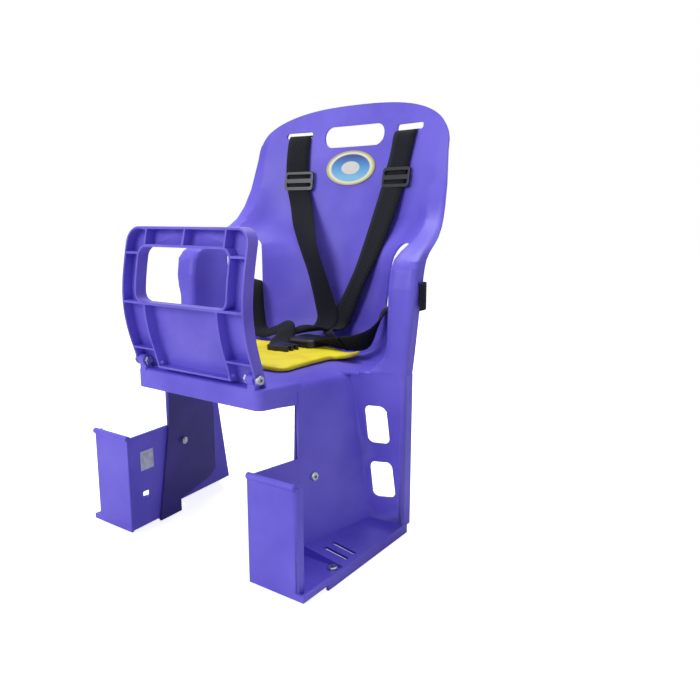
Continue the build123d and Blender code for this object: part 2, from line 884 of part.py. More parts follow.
# Shoulder strap of the child's left, from its slot down the back to the lap
def make_shoulder_strap(bucket):
    top = shoulder_slot_z - shoulder_slot_height / 2
    bottom = tub_z - 5
    line = [(89, top + 10), (79, 413), (66, 363), (55, 337), (39, 296), (26, 256), (22, bottom - 20)]
    window = Pos(0, (top + bottom) / 2) * Rectangle(300, top - bottom)
    return back_layer(bucket, strip(line, strap_width) & window, 60, 180, strap_gap, strap_thickness)


# Inner face of the bucket by X and height
def wall_y(x, z):
    row = wall_row(z, 0.0)
    low, high = next((a, b) for a, b in zip(row, row[1:]) if b[0] >= x)
    return low[1] + (x - low[0]) / (high[0] - low[0]) * (high[1] - low[1])


# Slider on the left shoulder strap: a plate with two slots and a bar between
def make_slider():
    middle = 79.0
    slope = (wall_y(middle + 20, slider_z) - wall_y(middle - 20, slider_z)) / 40
    normal = Vector(1, slope, 0).cross(Vector(0, back_recline, 1)).normalized()
    stand = strap_gap + strap_thickness + 1.6
    place = Vector(middle, wall_y(middle, slider_z), slider_z) + normal * stand
    plate = RectangleRounded(slider_width, slider_height, 4)
    for y in (-5.5, 5.5):
        plate -= Pos(0, y) * RectangleRounded(slider_width - 6, 5.5, 2)
    return extrude(Plane(origin=place, x_dir=(1, slope, 0), z_dir=normal) * plate, slider_thickness)


# Waist strap of the child's left: through its slot, down the side and flat on the pad
def make_waist_strap(lap):
    low = pad_top + 1.0
    line = [(-10, 266), (2, 263), (9, 250), (14, 230), (24, 214), (38, low + 0.8), (52, low + 0.8)]
    lean = math.sqrt(0.5)
    plane = Plane(origin=(waist_slot_x, waist_slot_y, 0), x_dir=(-lean, -lean, 0), z_dir=(-lean, lean, 0))
    width = strap_width - 8
    hanging = extrude(plane.offset(-width / 2) * strip(line, strap_thickness), width)
    corner = (waist_slot_x - 40 * lean, waist_slot_y - 40 * lean)
    flat = strip([corner, *lap], width)
    return hanging + extrude(Pos(0, 0, low - 0.3) * flat, strap_thickness + 0.6)


def make_socket():
    block = extrude(RectangleRounded(buckle_width, buckle_length, 9), buckle_thickness)
    return Pos(socket_x, socket_y, pad_top + 0.6) * chamfer(block.edges().group_by(Axis.Z)[-1], 2.4)


def make_plug():
    plate = RectangleRounded(plug_length * 0.6, buckle_width * 0.62, 4)
    for y in (-9, 0, 9):
        plate += Pos(plug_length * 0.4, y) * RectangleRounded(plug_length * 0.5, 5, 2)
    return Pos(plug_x, plug_y, pad_top + 0.6) * extrude(plate, plug_thickness)


# Pad: a wide rear lobe that follows the bucket's wall and a narrower front lobe
def make_pad():
    rear = wall_row(pan_top, pan_spread + 4)
    edge_x, edge_y = rear[-1]
    back = rear[0][1] + 10
    with BuildSketch() as room:
        with BuildLine():
            Spline([(-x, y) for x, y in reversed(rear[1:])] + rear)
            Polyline((edge_x, edge_y), (edge_x, pad_front_y), (-edge_x, pad_front_y), (-edge_x, edge_y))
        make_face()
    rear_long = back - pad_waist_y
    front_long = pad_waist_y + pad_corner_radius - pad_front_y
    rear_lobe = RectangleRounded(2 * pad_half_width, rear_long, pad_shoulder_radius)
    front_lobe = RectangleRounded(2 * pad_front_half_width, front_long, pad_corner_radius)
    lobes = Pos(0, back - rear_long / 2) * rear_lobe + Pos(0, pad_front_y + front_long / 2) * front_lobe
    waist = lobes.vertices().filter_by(
        lambda v: abs(abs(v.X) - pad_front_half_width) < 0.01 and abs(v.Y - pad_waist_y) < 0.01
    )
    lobes = fillet(waist, pad_shoulder_radius - 3)
    return extrude(Pos(0, 0, pan_top + strap_gap) * (lobes & room.sketch), pad_thickness)


def make_badge(bucket):
    oval = Pos(0, badge_z) * Ellipse(badge_half_width, badge_half_height)
    return back_layer(bucket, oval, 120, 180, 0.3, badge_thickness)


def make_sticker():
    low, high = sticker_y - sticker_length / 2, sticker_y + sticker_length / 2
    bottom, top = sticker_z - sticker_height / 2, sticker_z + sticker_height / 2
    corners = [(low, bottom), (high, bottom), (high, top), (low, top)]
    return mirrored(side_wall(corners, sticker_thickness, False))


os.makedirs("parts", exist_ok=True)
bucket = make_bucket()
left = {}

side_plane = Plane(origin=(0, pivot_y, pivot_z), x_dir=(0, 1, 0), z_dir=(1, 0, 0))
lug_inner = guard_half_width - guard_wall - lug_gap - lug_width
head_x = guard_half_width + pivot_head_gap
left["guard_pivot_bolt"] = side_plane.offset(head_x).location * make_bolt(
    pivot_diameter, head_x - lug_inner + nut_height + bolt_spare
)
left["guard_pivot_nut"] = side_plane.offset(lug_inner).location * make_nut(nut_height, pivot_diameter)

left["leg_bolt"] = leg_bolt_plane(wall).location * make_bolt(
    bolt_diameter, wall + plate_thickness + nut_height + bolt_spare
)
left["leg_nut"] = leg_bolt_plane(-plate_thickness).location * make_nut(nut_height, bolt_diameter)

stack = toe_floor_top - plate_toe_bottom
left["floor_screw"] = Pos(floor_screw_x, floor_screw_y, toe_floor_top) * make_bolt(
    bolt_diameter, stack + floor_nut_height + bolt_spare
)
floor_nut = make_nut(floor_nut_height, bolt_diameter)
left["floor_nut"] = Pos(floor_screw_x, floor_screw_y, plate_toe_bottom) * floor_nut

left["spoke_guard"] = make_plate()
left["shoulder_strap"] = make_shoulder_strap(bucket)
left["shoulder_slider"] = make_slider()

nodes = {}
for name, piece in left.items():
    nodes[name + "_left"] = piece
    nodes[name + "_right"] = mirrored(piece)
nodes["waist_strap_left"] = make_waist_strap(near_lap)
nodes["waist_strap_right"] = mirrored(make_waist_strap(far_lap))
nodes["buckle_socket"] = make_socket()
nodes["buckle_plug"] = make_plug()
nodes["seat_pad"] = make_pad()
nodes["oval_badge"] = make_badge(bucket)
nodes["foot_sticker"] = make_sticker()
nodes["guard_bar"] = make_guard()
nodes["seat_shell"] = make_shell(bucket)

for name, piece in nodes.items():
    placed = Pos(0, -middle_y, 0) * piece
    print(name, len(placed.solids()), round(placed.volume), flush=True)
    export_step(placed, "parts/" + name + ".step")
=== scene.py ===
import bmesh
import bpy
import math
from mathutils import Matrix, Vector
from mathutils.kdtree import KDTree


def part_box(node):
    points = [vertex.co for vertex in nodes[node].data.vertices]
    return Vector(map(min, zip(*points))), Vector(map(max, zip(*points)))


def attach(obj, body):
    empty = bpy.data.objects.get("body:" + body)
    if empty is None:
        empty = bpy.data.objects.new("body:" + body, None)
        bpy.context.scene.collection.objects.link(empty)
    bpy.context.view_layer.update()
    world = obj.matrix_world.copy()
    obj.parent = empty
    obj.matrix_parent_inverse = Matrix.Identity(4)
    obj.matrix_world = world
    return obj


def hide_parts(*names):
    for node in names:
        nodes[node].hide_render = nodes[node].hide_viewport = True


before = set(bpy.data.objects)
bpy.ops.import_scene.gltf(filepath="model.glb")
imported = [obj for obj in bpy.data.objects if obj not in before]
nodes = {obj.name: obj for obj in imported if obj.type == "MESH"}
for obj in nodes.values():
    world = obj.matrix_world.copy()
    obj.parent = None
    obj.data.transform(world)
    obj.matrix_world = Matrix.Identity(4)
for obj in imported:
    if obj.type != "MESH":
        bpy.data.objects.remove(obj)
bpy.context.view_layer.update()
scene = bpy.context.scene
scene.view_settings.view_transform = "Standard"
print("frame loaded", len(nodes), "nodes")


def linear(hexColour):  # sRGB hex to the linear colour that shaders take
    values = [int(hexColour[i:i + 2], 16) / 255 for i in (1, 3, 5)]
    return [v / 12.92 if v <= 0.04045 else ((v + 0.055) / 1.055) ** 2.4 for v in values] + [1.0]


def addNode(tree, kind, inputs=None, links=None, **settings):
    made = tree.nodes.new(kind)
    for key, value in settings.items():
        setattr(made, key, value)
    for key, value in (inputs or {}).items():
        made.inputs[key].default_value = value
    for key, (source, output) in (links or {}).items():
        tree.links.new(source.outputs[output], made.inputs[key])
    return made


def newMaterial(name):
    material = bpy.data.materials.new(name)
    material.use_nodes = True
    tree = material.node_tree
    tree.nodes.clear()
    return material, tree


def colourSteps(ramp, *steps):  # (position, colour) pairs of a colour ramp
    elements = ramp.color_ramp.elements
    while len(elements) < len(steps):
        elements.new(0.5)
    for element, (position, colour) in zip(elements, steps):
        element.position = position
        element.color = colour


def perMillimetre(size):  # texture scale whose features are this many millimetres wide
    return 1000.0 / size


# Moulded polypropylene: satin, a faint spark-eroded grain, slow cloudiness from the flow
shellLook = dict(light="#7468E2", dark="#6357D4", rough=(0.36, 0.48), grain=1.1, cloud=70.0, bump=0.05)
guardLook = dict(light="#7669DC", dark="#6558CD", rough=(0.36, 0.48), grain=1.1, cloud=50.0, bump=0.05)
# Spoke guard plates: the shell plastic tinted darker, painted shade for the wheel side of the legs
plateShadeLook = dict(light="#473E94", dark="#3B337F", rough=(0.38, 0.5), grain=1.1, cloud=50.0, bump=0.05)


def mouldedPolypropylene(name, look):
    material, tree = newMaterial(name)
    place = addNode(tree, "ShaderNodeTexCoord")
    cloud = addNode(tree, "ShaderNodeTexNoise", {"Scale": perMillimetre(look["cloud"]), "Detail": 3.0},
                    {"Vector": (place, "Object")})
    tint = addNode(tree, "ShaderNodeValToRGB", links={"Fac": (cloud, "Fac")})
    colourSteps(tint, (0.35, linear(look["dark"])), (0.68, linear(look["light"])))
    grain = addNode(tree, "ShaderNodeTexNoise", {"Scale": perMillimetre(look["grain"]), "Detail": 2.0},
                    {"Vector": (place, "Object")})
    rough = addNode(tree, "ShaderNodeMapRange", {"To Min": look["rough"][0], "To Max": look["rough"][1]},
                    {"Value": (cloud, "Fac")})
    bump = addNode(tree, "ShaderNodeBump", {"Strength": look["bump"], "Distance": 0.0004},
                   {"Height": (grain, "Fac")})
    shader = addNode(tree, "ShaderNodeBsdfPrincipled", {"IOR": 1.49, "Specular IOR Level": 0.34},
                     {"Base Color": (tint, "Color"), "Roughness": (rough, "Result"), "Normal": (bump, "Normal")})
    addNode(tree, "ShaderNodeOutputMaterial", links={"Surface": (shader, "BSDF")})
    return material


# Zinc-plated steel: bright, a little mottled, no brushing
zincLook = dict(light="#C9CCD2", dark="#9AA0A8", rough=(0.24, 0.42), mottle=1.6)


def zincPlatedSteel():
    material, tree = newMaterial("zinc-plated steel")
    place = addNode(tree, "ShaderNodeTexCoord")
    mottle = addNode(tree, "ShaderNodeTexNoise", {"Scale": perMillimetre(zincLook["mottle"]), "Detail": 3.0},
                     {"Vector": (place, "Object")})
    tint = addNode(tree, "ShaderNodeValToRGB", links={"Fac": (mottle, "Fac")})
    colourSteps(tint, (0.3, linear(zincLook["dark"])), (0.7, linear(zincLook["light"])))
    rough = addNode(tree, "ShaderNodeMapRange",
                    {"To Min": zincLook["rough"][0], "To Max": zincLook["rough"][1]},
                    {"Value": (mottle, "Fac")})
    shader = addNode(tree, "ShaderNodeBsdfPrincipled", {"Metallic": 1.0},
                     {"Base Color": (tint, "Color"), "Roughness": (rough, "Result")})
    addNode(tree, "ShaderNodeOutputMaterial", links={"Surface": (shader, "BSDF")})
    return material


def waveScale(size):  # a wave band is 2 pi / 20 long at scale 1
    return perMillimetre(size) * math.pi / 10


# Woven polyester webbing: ribs along the tape, a thread that crosses them, soft dark sheen
webbingLook = dict(light="#171A24", dark="#0B0D14", rib=2.6, thread=3.4, bump=0.35, rough=0.8, sheen=0.03)


def wovenWebbing():
    material, tree = newMaterial("woven polyester webbing")
    cut = addNode(tree, "ShaderNodeUVMap", uv_map="tape")
    ribs = addNode(tree, "ShaderNodeTexWave", {"Scale": waveScale(webbingLook["rib"]), "Distortion": 0.3},
                   {"Vector": (cut, "UV")}, bands_direction="X")
    threads = addNode(tree, "ShaderNodeTexWave",
                      {"Scale": waveScale(webbingLook["thread"]), "Distortion": 0.5},
                      {"Vector": (cut, "UV")}, bands_direction="DIAGONAL")
    weave = addNode(tree, "ShaderNodeMath", links={0: (ribs, "Fac"), 1: (threads, "Fac")}, operation="MULTIPLY")
    tint = addNode(tree, "ShaderNodeValToRGB", links={"Fac": (weave, "Value")})
    colourSteps(tint, (0.05, linear(webbingLook["dark"])), (0.7, linear(webbingLook["light"])))
    bump = addNode(tree, "ShaderNodeBump", {"Strength": webbingLook["bump"], "Distance": 0.0005},
                   {"Height": (weave, "Value")})
    shader = addNode(tree, "ShaderNodeBsdfPrincipled",
                     {"Roughness": webbingLook["rough"], "Specular IOR Level": 0.22,
                      "Sheen Weight": webbingLook["sheen"], "Sheen Roughness": 0.5},
                     {"Base Color": (tint, "Color"), "Normal": (bump, "Normal")})
    addNode(tree, "ShaderNodeOutputMaterial", links={"Surface": (shader, "BSDF")})
    return material


# Acetal of sliders and buckle: black, smooth, a soft gloss
acetalLook = dict(light="#191B22", dark="#0F1116", rough=0.34, grain=1.2)


def blackAcetal():
    material, tree = newMaterial("black acetal")
    place = addNode(tree, "ShaderNodeTexCoord")
    grain = addNode(tree, "ShaderNodeTexNoise", {"Scale": perMillimetre(acetalLook["grain"]), "Detail": 2.0},
                    {"Vector": (place, "Object")})
    tint = addNode(tree, "ShaderNodeValToRGB", links={"Fac": (grain, "Fac")})
    colourSteps(tint, (0.3, linear(acetalLook["dark"])), (0.7, linear(acetalLook["light"])))
    bump = addNode(tree, "ShaderNodeBump", {"Strength": 0.08, "Distance": 0.0003}, {"Height": (grain, "Fac")})
    shader = addNode(tree, "ShaderNodeBsdfPrincipled", {"Roughness": acetalLook["rough"], "IOR": 1.48},
                     {"Base Color": (tint, "Color"), "Normal": (bump, "Normal")})
    addNode(tree, "ShaderNodeOutputMaterial", links={"Surface": (shader, "BSDF")})
    return material


# Calendered vinyl over foam: saturated yellow, fine leather print, soft gloss
vinylLook = dict(light="#FFF02A", dark="#F3DB18", rough=(0.42, 0.56), cloud=24.0, print=1.8, bump=0.14)


def paddedVinyl():
    material, tree = newMaterial("padded vinyl")
    place = addNode(tree, "ShaderNodeTexCoord")
    cloud = addNode(tree, "ShaderNodeTexNoise", {"Scale": perMillimetre(vinylLook["cloud"]), "Detail": 3.0},
                    {"Vector": (place, "Object")})
    tint = addNode(tree, "ShaderNodeValToRGB", links={"Fac": (cloud, "Fac")})
    colourSteps(tint, (0.32, linear(vinylLook["dark"])), (0.62, linear(vinylLook["light"])))
    leather = addNode(tree, "ShaderNodeTexVoronoi", {"Scale": perMillimetre(vinylLook["print"])},
                      {"Vector": (place, "Object")}, feature="F1")
    rough = addNode(tree, "ShaderNodeMapRange",
                    {"To Min": vinylLook["rough"][0], "To Max": vinylLook["rough"][1]},
                    {"Value": (cloud, "Fac")})
    bump = addNode(tree, "ShaderNodeBump", {"Strength": vinylLook["bump"], "Distance": 0.0004},
                   {"Height": (leather, "Distance")})
    shader = addNode(tree, "ShaderNodeBsdfPrincipled", {"IOR": 1.53, "Specular IOR Level": 0.3},
                     {"Base Color": (tint, "Color"), "Roughness": (rough, "Result"), "Normal": (bump, "Normal")})
    addNode(tree, "ShaderNodeOutputMaterial", links={"Surface": (shader, "BSDF")})
    return material


# Sticker paper: matt white, slightly grey with use
paperLook = dict(light="#DDE0EA", dark="#BFC4D4", rough=0.62, smudge=6.0)


def stickerPaper():
    material, tree = newMaterial("sticker paper")
    place = addNode(tree, "ShaderNodeTexCoord")
    smudge = addNode(tree, "ShaderNodeTexNoise", {"Scale": perMillimetre(paperLook["smudge"]), "Detail": 4.0},
                     {"Vector": (place, "Object")})
    tint = addNode(tree, "ShaderNodeValToRGB", links={"Fac": (smudge, "Fac")})
    colourSteps(tint, (0.35, linear(paperLook["dark"])), (0.6, linear(paperLook["light"])))
    shader = addNode(tree, "ShaderNodeBsdfPrincipled", {"Roughness": paperLook["rough"]},
                     {"Base Color": (tint, "Color")})
    addNode(tree, "ShaderNodeOutputMaterial", links={"Surface": (shader, "BSDF")})
    return material


# Printed vinyl label: cream border with a yellow line, blue field darker to its top, plain pale middle
badgeLook = dict(centre=(0.0, 0.0, 0.429), half=(0.039, 0.022), heights=(0.413, 0.447), middle="#DAD8D4",
                 low="#7FC0E4", field="#4497D8", deep="#24429A", border="#E9E5CC", line="#C4BE66",
                 rough=(0.22, 0.4), grain=3.0)


def printedLabel():
    material, tree = newMaterial("printed vinyl label")
    place = addNode(tree, "ShaderNodeTexCoord")
    oval = addNode(tree, "ShaderNodeMapping",
                   {"Location": badgeLook["centre"],
                    "Scale": (badgeLook["half"][0], 1000.0, badgeLook["half"][1])},
                   {"Vector": (place, "Object")}, vector_type="TEXTURE")
    reach = addNode(tree, "ShaderNodeVectorMath", links={0: (oval, "Vector")}, operation="LENGTH")
    height = addNode(tree, "ShaderNodeSeparateXYZ", links={0: (place, "Object")})
    rise = addNode(tree, "ShaderNodeMapRange",
                   {"From Min": badgeLook["heights"][0], "From Max": badgeLook["heights"][1]},
                   {"Value": (height, "Z")})
    field = addNode(tree, "ShaderNodeValToRGB", links={"Fac": (rise, "Result")})
    colourSteps(field, (0.1, linear(badgeLook["low"])), (0.5, linear(badgeLook["field"])),
                (0.9, linear(badgeLook["deep"])))
    rings = addNode(tree, "ShaderNodeValToRGB", links={"Fac": (reach, "Value")})
    colourSteps(rings, (0.0, linear(badgeLook["middle"])), (0.5, linear(badgeLook["middle"])),
                (0.52, linear(badgeLook["border"])), (0.9, linear(badgeLook["border"])),
                (0.93, linear(badgeLook["line"])), (1.0, linear(badgeLook["line"])))
    bare = addNode(tree, "ShaderNodeValToRGB", links={"Fac": (reach, "Value")})
    clear, inked = (0.0, 0.0, 0.0, 1.0), (1.0, 1.0, 1.0, 1.0)
    colourSteps(bare, (0.36, clear), (0.39, inked), (0.78, inked), (0.81, clear))
    tint = addNode(tree, "ShaderNodeMixRGB",
                   links={0: (bare, "Color"), 1: (rings, "Color"), 2: (field, "Color")})
    grain = addNode(tree, "ShaderNodeTexNoise", {"Scale": perMillimetre(badgeLook["grain"]), "Detail": 3.0},
                    {"Vector": (place, "Object")})
    rough = addNode(tree, "ShaderNodeMapRange",
                    {"To Min": badgeLook["rough"][0], "To Max": badgeLook["rough"][1]},
                    {"Value": (grain, "Fac")})
    shader = addNode(tree, "ShaderNodeBsdfPrincipled", {"IOR": 1.5},
                     {"Base Color": (tint, "Color"), "Roughness": (rough, "Result")})
    addNode(tree, "ShaderNodeOutputMaterial", links={"Surface": (shader, "BSDF")})
    return material


shellPlastic = mouldedPolypropylene("moulded polypropylene shell", shellLook)
guardPlastic = mouldedPolypropylene("moulded polypropylene guard", guardLook)
shadedPlatePlastic = mouldedPolypropylene("moulded polypropylene plate in painted shade", plateShadeLook)
zincSteel = zincPlatedSteel()
webbing = wovenWebbing()
acetal = blackAcetal()
vinyl = paddedVinyl()
paper = stickerPaper()
badgePrint = printedLabel()
print("materials made")


def dress(node, material):  # the CAD node stays and gets its finish
    piece = nodes[node]
    piece.data.materials.clear()
    piece.data.materials.append(material)
    return piece


for side in ("left", "right"):
    # the plates' darker tint is painted shade
    dress("spoke_guard_" + side, shadedPlatePlastic)
    for kind in ("guard_pivot_bolt_", "guard_pivot_nut_", "leg_bolt_", "leg_nut_",
                 "floor_screw_", "floor_nut_"):
        dress(kind + side, zincSteel)
dress("oval_badge", badgePrint)
dress("foot_sticker", paper)
print("CAD nodes dressed")


# Rounds on mould edges: angles in degrees, room in widths of the round, areas in square metres
roundPlan = dict(join=0.00001, flat=0.3, crease=32.0, smooth=28.0, faceRoom=2.2, edgeRoom=1.3, near=3.0,
                 folded=2e-8, tries=6)


def mergedCopy(node):  # the CAD mesh is loose triangles: joined, flat parts made one face
    work = bmesh.new()
    work.from_mesh(nodes[node].data)
    bmesh.ops.remove_doubles(work, verts=work.verts, dist=roundPlan["join"])
    bmesh.ops.dissolve_limit(work, angle_limit=math.radians(roundPlan["flat"]),
                             verts=work.verts, edges=work.edges)
    return work


def hasRoom(edge, creases, width):  # the faces beside the edge are wide enough for its round
    foot = edge.verts[0].co
    line = (edge.verts[1].co - foot).normalized()

    def off(step):
        return (step - line * step.dot(line)).length

    narrowest = min(max(off(v.co - foot) for v in face.verts) for face in edge.link_faces)
    if narrowest < roundPlan["faceRoom"] * width:
        return False
    beside = [(v, other) for v in edge.verts for other in v.link_edges
              if other not in creases and any(face in edge.link_faces for face in other.link_faces)]
    return all(off(other.other_vert(v).co - v.co) > roundPlan["edgeRoom"] * width for v, other in beside)


def foldedCorners(work, width):  # places where a round ran past the end of a face and folded it
    corners = []
    for loops in work.calc_loop_triangles():
        face = loops[0].face
        one, two, three = (loop.vert.co for loop in loops)
        area = (two - one).cross(three - one).dot(face.normal) / 2
        if area < -roundPlan["folded"]:
            for v in face.verts:
                shortest = min(e.calc_length() for e in v.link_edges if face in e.link_faces)
                if shortest < roundPlan["near"] * width:
                    corners.append(v.co.copy())
    return corners


def softenEdges(work, width, keepOff=None):  # a small round on each crease that has room for it
    creases = {edge for edge in work.edges
               if len(edge.link_faces) == 2 and edge.calc_face_angle() > math.radians(roundPlan["crease"])}
    chosen = [edge for edge in work.edges if edge in creases and hasRoom(edge, creases, width)
              and not (keepOff and keepOff(edge))]
    work.edges.index_update()
    for attempt in range(roundPlan["tries"]):
        trial = work.copy()
        trial.edges.ensure_lookup_table()
        bmesh.ops.bevel(trial, geom=[trial.edges[edge.index] for edge in chosen], affect="EDGES",
                        offset=width, offset_type="OFFSET", segments=2, profile=0.5, material=-1,
                        clamp_overlap=False, loop_slide=True)
        corners = foldedCorners(trial, width)
        print("edges rounded", len(chosen), "of", len(creases), "folded corners", len(corners))
        if not corners or attempt == roundPlan["tries"] - 1:
            break
        trial.free()
        near = KDTree(len(corners))
        for index, corner in enumerate(corners):
            near.insert(corner, index)
        near.balance()
        chosen = [edge for edge in chosen
                  if min(near.find(v.co)[2] for v in edge.verts) > roundPlan["near"] * width]
    work.free()
    return trial


def finishPiece(name, work, material, body, slot, *stoodFor):
    data = bpy.data.meshes.new(name)
    work.to_mesh(data)
    work.free()
    data.shade_smooth()
    data.set_sharp_from_angle(angle=math.radians(roundPlan["smooth"]))
    data.materials.append(material)
    piece = bpy.data.objects.new(name, data)
    scene.collection.objects.link(piece)
    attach(piece, body)
    if stoodFor:
        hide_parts(*stoodFor)
    return piece


def evenNormals(piece):  # large flat faces keep flat shading beside their rounds
    weigh = piece.modifiers.new("evenNormals", "WEIGHTED_NORMAL")
    weigh.keep_sharp = True
    weigh.weight = 60


# Seat shell: rounded mould edges, foot floors that fall a little to their outer rim
shellPlan = dict(edge=0.0009, mouldLine=0.199, lineBand=0.0009, mouldReach=0.117, floorRim=0.024, fall=0.008,
                 floorLevels=(0.0155, 0.0215), footInner=(0.094, 0.1265), footOuter=(0.165, 0.048),
                 footFront=-0.15795)


def keptCrisp(edge):  # the mould line and the rims of the foot floors
    onLine = all(abs(v.co.z - shellPlan["mouldLine"]) < shellPlan["lineBand"]
                 and abs(v.co.x) > shellPlan["mouldReach"] for v in edge.verts)
    return onLine or all(v.co.z < shellPlan["floorRim"] for v in edge.verts)


shellWork = mergedCopy("seat_shell")
for v in shellWork.verts:
    if shellPlan["floorLevels"][0] < v.co.z < shellPlan["floorLevels"][1]:
        along = v.co.y - shellPlan["footFront"]
        inner = shellPlan["footInner"][0] + shellPlan["footInner"][1] * along
        outer = shellPlan["footOuter"][0] - shellPlan["footOuter"][1] * along
        v.co.z -= shellPlan["fall"] * max(0.0, min(1.0, (abs(v.co.x) - inner) / (outer - inner)))
shellWork = softenEdges(shellWork, shellPlan["edge"], keptCrisp)
shellSkin = finishPiece("shellSkin", shellWork, shellPlastic, "seat", "shell_plastic", "seat_shell")
evenNormals(shellSkin)
print("shell skin", len(shellSkin.data.polygons), "faces")

# Guard: ribs and rails with moulded rounds
guardPlan = dict(edge=0.0008)
guardWork = softenEdges(mergedCopy("guard_bar"), guardPlan["edge"])
guardSkin = finishPiece("guardSkin", guardWork, guardPlastic, "guard", "guard_plastic", "guard_bar")
evenNormals(guardSkin)
print("guard skin", len(guardSkin.data.polygons), "faces")

# Sliders and buckle halves: moulded acetal with rounded corners
acetalPlan = dict(edge=0.0007)
for node in ("shoulder_slider_left", "shoulder_slider_right", "buckle_socket", "buckle_plug"):
    moulded = softenEdges(mergedCopy(node), acetalPlan["edge"])
    words = node.split("_")
    pieceName = words[0] + "".join(w.capitalize() for w in words[1:])
    evenNormals(finishPiece(pieceName, moulded, acetal, "seat", "black_plastic", node))
print("sliders and buckle made")

# Pad: foam in vinyl, swollen by the simulation, flat where it lies on the pan
padPlan = dict(shrink=0.995, voxel=0.0036, pressure=4.0, frames=20, cap=0.0024,
               curlFrom=0.056, curlOver=0.03, curl=0.009, spread=1.12)


def bakeModifiers(piece):  # the evaluated mesh becomes the piece's own
    graph = bpy.context.evaluated_depsgraph_get()
    made = bpy.data.meshes.new_from_object(piece.evaluated_get(graph), depsgraph=graph)
    piece.modifiers.clear()
    piece.data = made


def swellPad():
    source = mergedCopy("seat_pad")
    low, high = (Vector(c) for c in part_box("seat_pad"))
    middle = (low + high) / 2
    for v in source.verts:
        v.co.x = middle.x + (v.co.x - middle.x) * padPlan["shrink"]
        v.co.y = middle.y + (v.co.y - middle.y) * padPlan["shrink"]
    pad = finishPiece("seatPad", source, vinyl, "seat", "pad_vinyl", "seat_pad")
    remesh = pad.modifiers.new("remesh", "REMESH")
    remesh.mode = "VOXEL"
    remesh.voxel_size = padPlan["voxel"]
    bakeModifiers(pad)
    start = [v.co.copy() for v in pad.data.vertices]
    cloth = pad.modifiers.new("cloth", "CLOTH")
    cloth.settings.use_pressure = True
    cloth.settings.uniform_pressure_force = padPlan["pressure"]
    cloth.settings.effector_weights.gravity = 0.0
    for step in range(1, padPlan["frames"] + 1):
        scene.frame_set(step)
    bakeModifiers(pad)
    scene.frame_set(1)
    for v, was in zip(pad.data.vertices, start):
        move = v.co - was
        if move.length > padPlan["cap"]:
            v.co = was + move * (padPlan["cap"] / move.length)
    for v in pad.data.vertices:  # it rests on the pan and rises a little up the walls of the tub
        v.co.z = max(v.co.z, low.z)
        beyond = max(0.0, (abs(v.co.x) - padPlan["curlFrom"]) / padPlan["curlOver"])
        v.co.x *= 1.0 + (padPlan["spread"] - 1.0) * min(beyond, 1.0)
        v.co.z += padPlan["curl"] * beyond ** 2
    pad.data.shade_smooth()
    rounder = pad.modifiers.new("rounder", "SUBSURF")
    rounder.levels = rounder.render_levels = 1
    return pad


seatPad = swellPad()
print("pad swollen", len(seatPad.data.vertices), "points")

# Harness tapes: widths in millimetres, thickness in metres, faces along each station and across
tapeMake = dict(shoulder=34.0, waist=28.0, thick=0.0016, along=10, across=4)


def smoothThrough(points, share):  # point on the smooth line through the stations
    place = share * (len(points) - 1)
    k = min(int(place), len(points) - 2)
    f = place - k
    a, b, c, d = (points[max(0, min(len(points) - 1, k + n))] for n in (-1, 0, 1, 2))
    return ((2 * b) + (c - a) * f + (2 * a - 5 * b + 4 * c - d) * f ** 2 + (3 * b - a - 3 * c + d) * f ** 3) / 2


def layTape(name, width, stations, *stoodFor):
    centres = [Vector(s[:3]) / 1000 for s in stations]
    across = [Vector(s[3:]).normalized() for s in stations]
    steps = tapeMake["along"] * (len(stations) - 1)
    lengths = [0.0]
    for n in range(steps):
        stretch = smoothThrough(centres, (n + 1) / steps) - smoothThrough(centres, n / steps)
        lengths.append(lengths[-1] + stretch.length)
    work = bmesh.new()
    cut = work.loops.layers.uv.new("tape")
    bmesh.ops.create_grid(work, x_segments=tapeMake["across"], y_segments=steps, size=0.5)
    flat = {}
    for v in work.verts:
        side, share = v.co.x * width / 1000, v.co.y + 0.5
        flat[v] = (side, lengths[round(share * steps)])
        v.co = smoothThrough(centres, share) + smoothThrough(across, share).normalized() * side
    for face in work.faces:
        for loop in face.loops:
            loop[cut].uv = flat[loop.vert]
    tape = finishPiece(name, work, webbing, "seat", "webbing", *stoodFor)
    thicken = tape.modifiers.new("thicken", "SOLIDIFY")
    thicken.thickness = tapeMake["thick"]
    thicken.offset = 0.0
    print(name, round(lengths[-1] * 1000), "mm long")
    return tape


